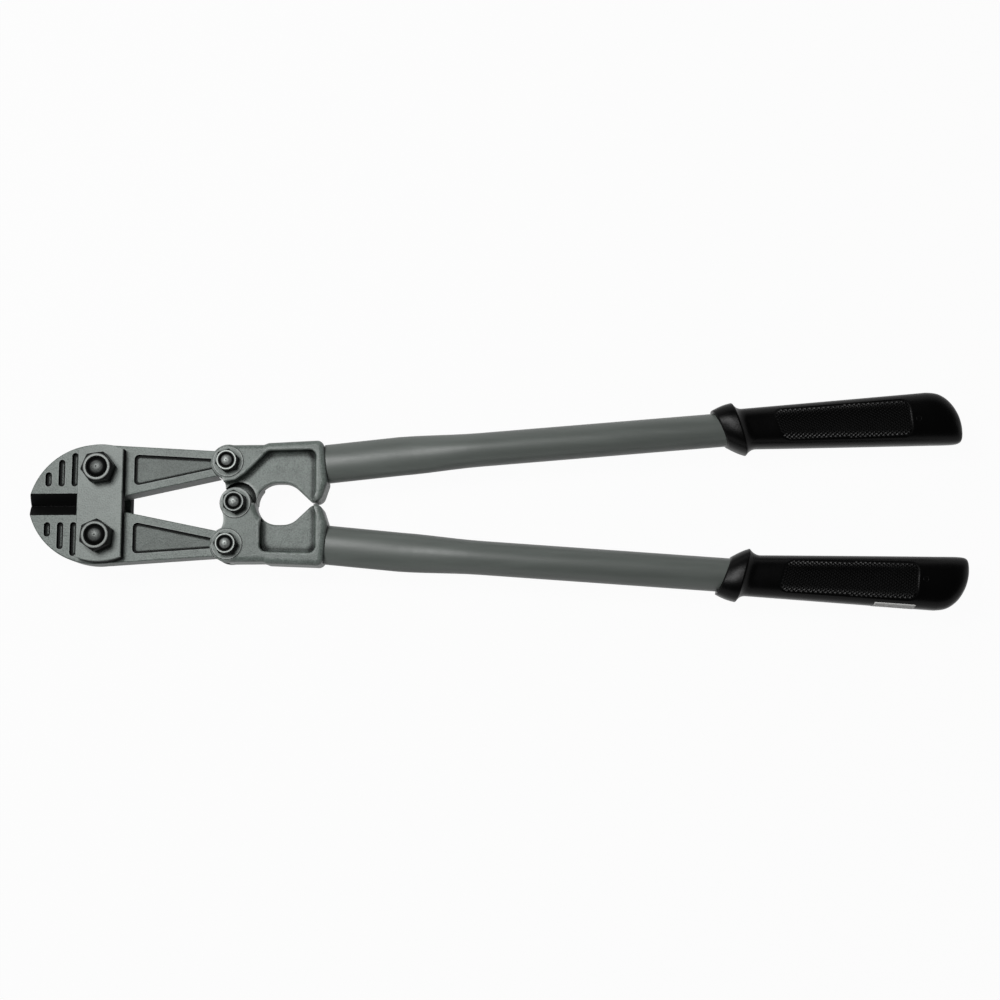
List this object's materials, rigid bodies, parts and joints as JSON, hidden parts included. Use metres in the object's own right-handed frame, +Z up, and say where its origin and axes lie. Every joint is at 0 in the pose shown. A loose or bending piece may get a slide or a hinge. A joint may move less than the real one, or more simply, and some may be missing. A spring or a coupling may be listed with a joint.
{
  "type": "bolt cutters",
  "caption": "Long-handled compound-lever bolt cutters with centre-cut jaws between straps, forged lapped handle irons, tubular handles and moulded grips.",
  "frame": {"origin": "middle of the bounding box's footprint, at the height of the strap bolt heads' undersides that the tool rests on", "axes": "+X from the jaws to the grips, +Y from the lower handle to the upper handle, +Z up, from the bolt heads to the nuts"},
  "size_m": [0.604, 0.142, 0.0514],
  "materials": {
    "strap_paint": "grey satin paint over flat bar",
    "jaw_paint": "grey satin paint, blackened cutting bevels",
    "iron_paint": "grey paint over a fine forged skin",
    "tube_paint": "smooth grey satin paint",
    "grip_rubber": "black moulded grip with a checkered panel",
    "nut_steel": "dark steel with bright turned rims",
    "bolt_steel": "dark steel",
    "washer_steel": "dark steel"
  },
  "bodies": {
    "straps": {"front_strap": "strap_paint", "rear_strap": "strap_paint", "upper_strap_bolt": "bolt_steel", "lower_strap_bolt": "bolt_steel", "upper_strap_nut": "nut_steel", "lower_strap_nut": "nut_steel"},
    "upper_jaw_body": {"upper_jaw": "jaw_paint"},
    "lower_jaw_body": {"lower_jaw": "jaw_paint"},
    "upper_handle": {"upper_handle_iron": "iron_paint", "upper_tube": "tube_paint", "upper_grip": "grip_rubber", "upper_link_bolt": "bolt_steel", "upper_link_nut": "nut_steel"},
    "lower_handle": {"lower_handle_iron": "iron_paint", "lower_tube": "tube_paint", "lower_grip": "grip_rubber", "lower_link_bolt": "bolt_steel", "lower_link_nut": "nut_steel", "centre_bolt": "bolt_steel", "centre_nut": "nut_steel", "centre_washer": "washer_steel"}
  },
  "joints": [
    {"name": "upper_jaw_hinge", "type": "hinge", "parent": "straps", "child": "upper_jaw_body", "pos_m": [-0.2541, 0.0217, 0.02415], "axis": [0, 0, -1], "range_deg": [0, 8.36]},
    {"name": "lower_jaw_hinge", "type": "hinge", "parent": "straps", "child": "lower_jaw_body", "pos_m": [-0.2541, -0.0217, 0.02415], "axis": [0, 0, 1], "range_deg": [0, 8.36]},
    {"name": "upper_handle_hinge", "type": "hinge", "parent": "upper_jaw_body", "child": "upper_handle", "pos_m": [-0.17335, 0.0267, 0.02415], "axis": [0, 0, 1], "range_deg": [0, 54.35]},
    {"name": "lower_handle_hinge", "type": "hinge", "parent": "lower_jaw_body", "child": "lower_handle", "pos_m": [-0.17335, -0.0267, 0.02415], "axis": [0, 0, -1], "range_deg": [0, 54.35]}
  ],
  "couplings": [
    {"joint": "lower_handle_hinge", "follows": "upper_handle_hinge", "ratio": 1},
    {"joint": "upper_jaw_hinge", "follows": "upper_handle_hinge", "ratio": 0.1537},
    {"joint": "lower_jaw_hinge", "follows": "upper_handle_hinge", "ratio": 0.1537}
  ]
}
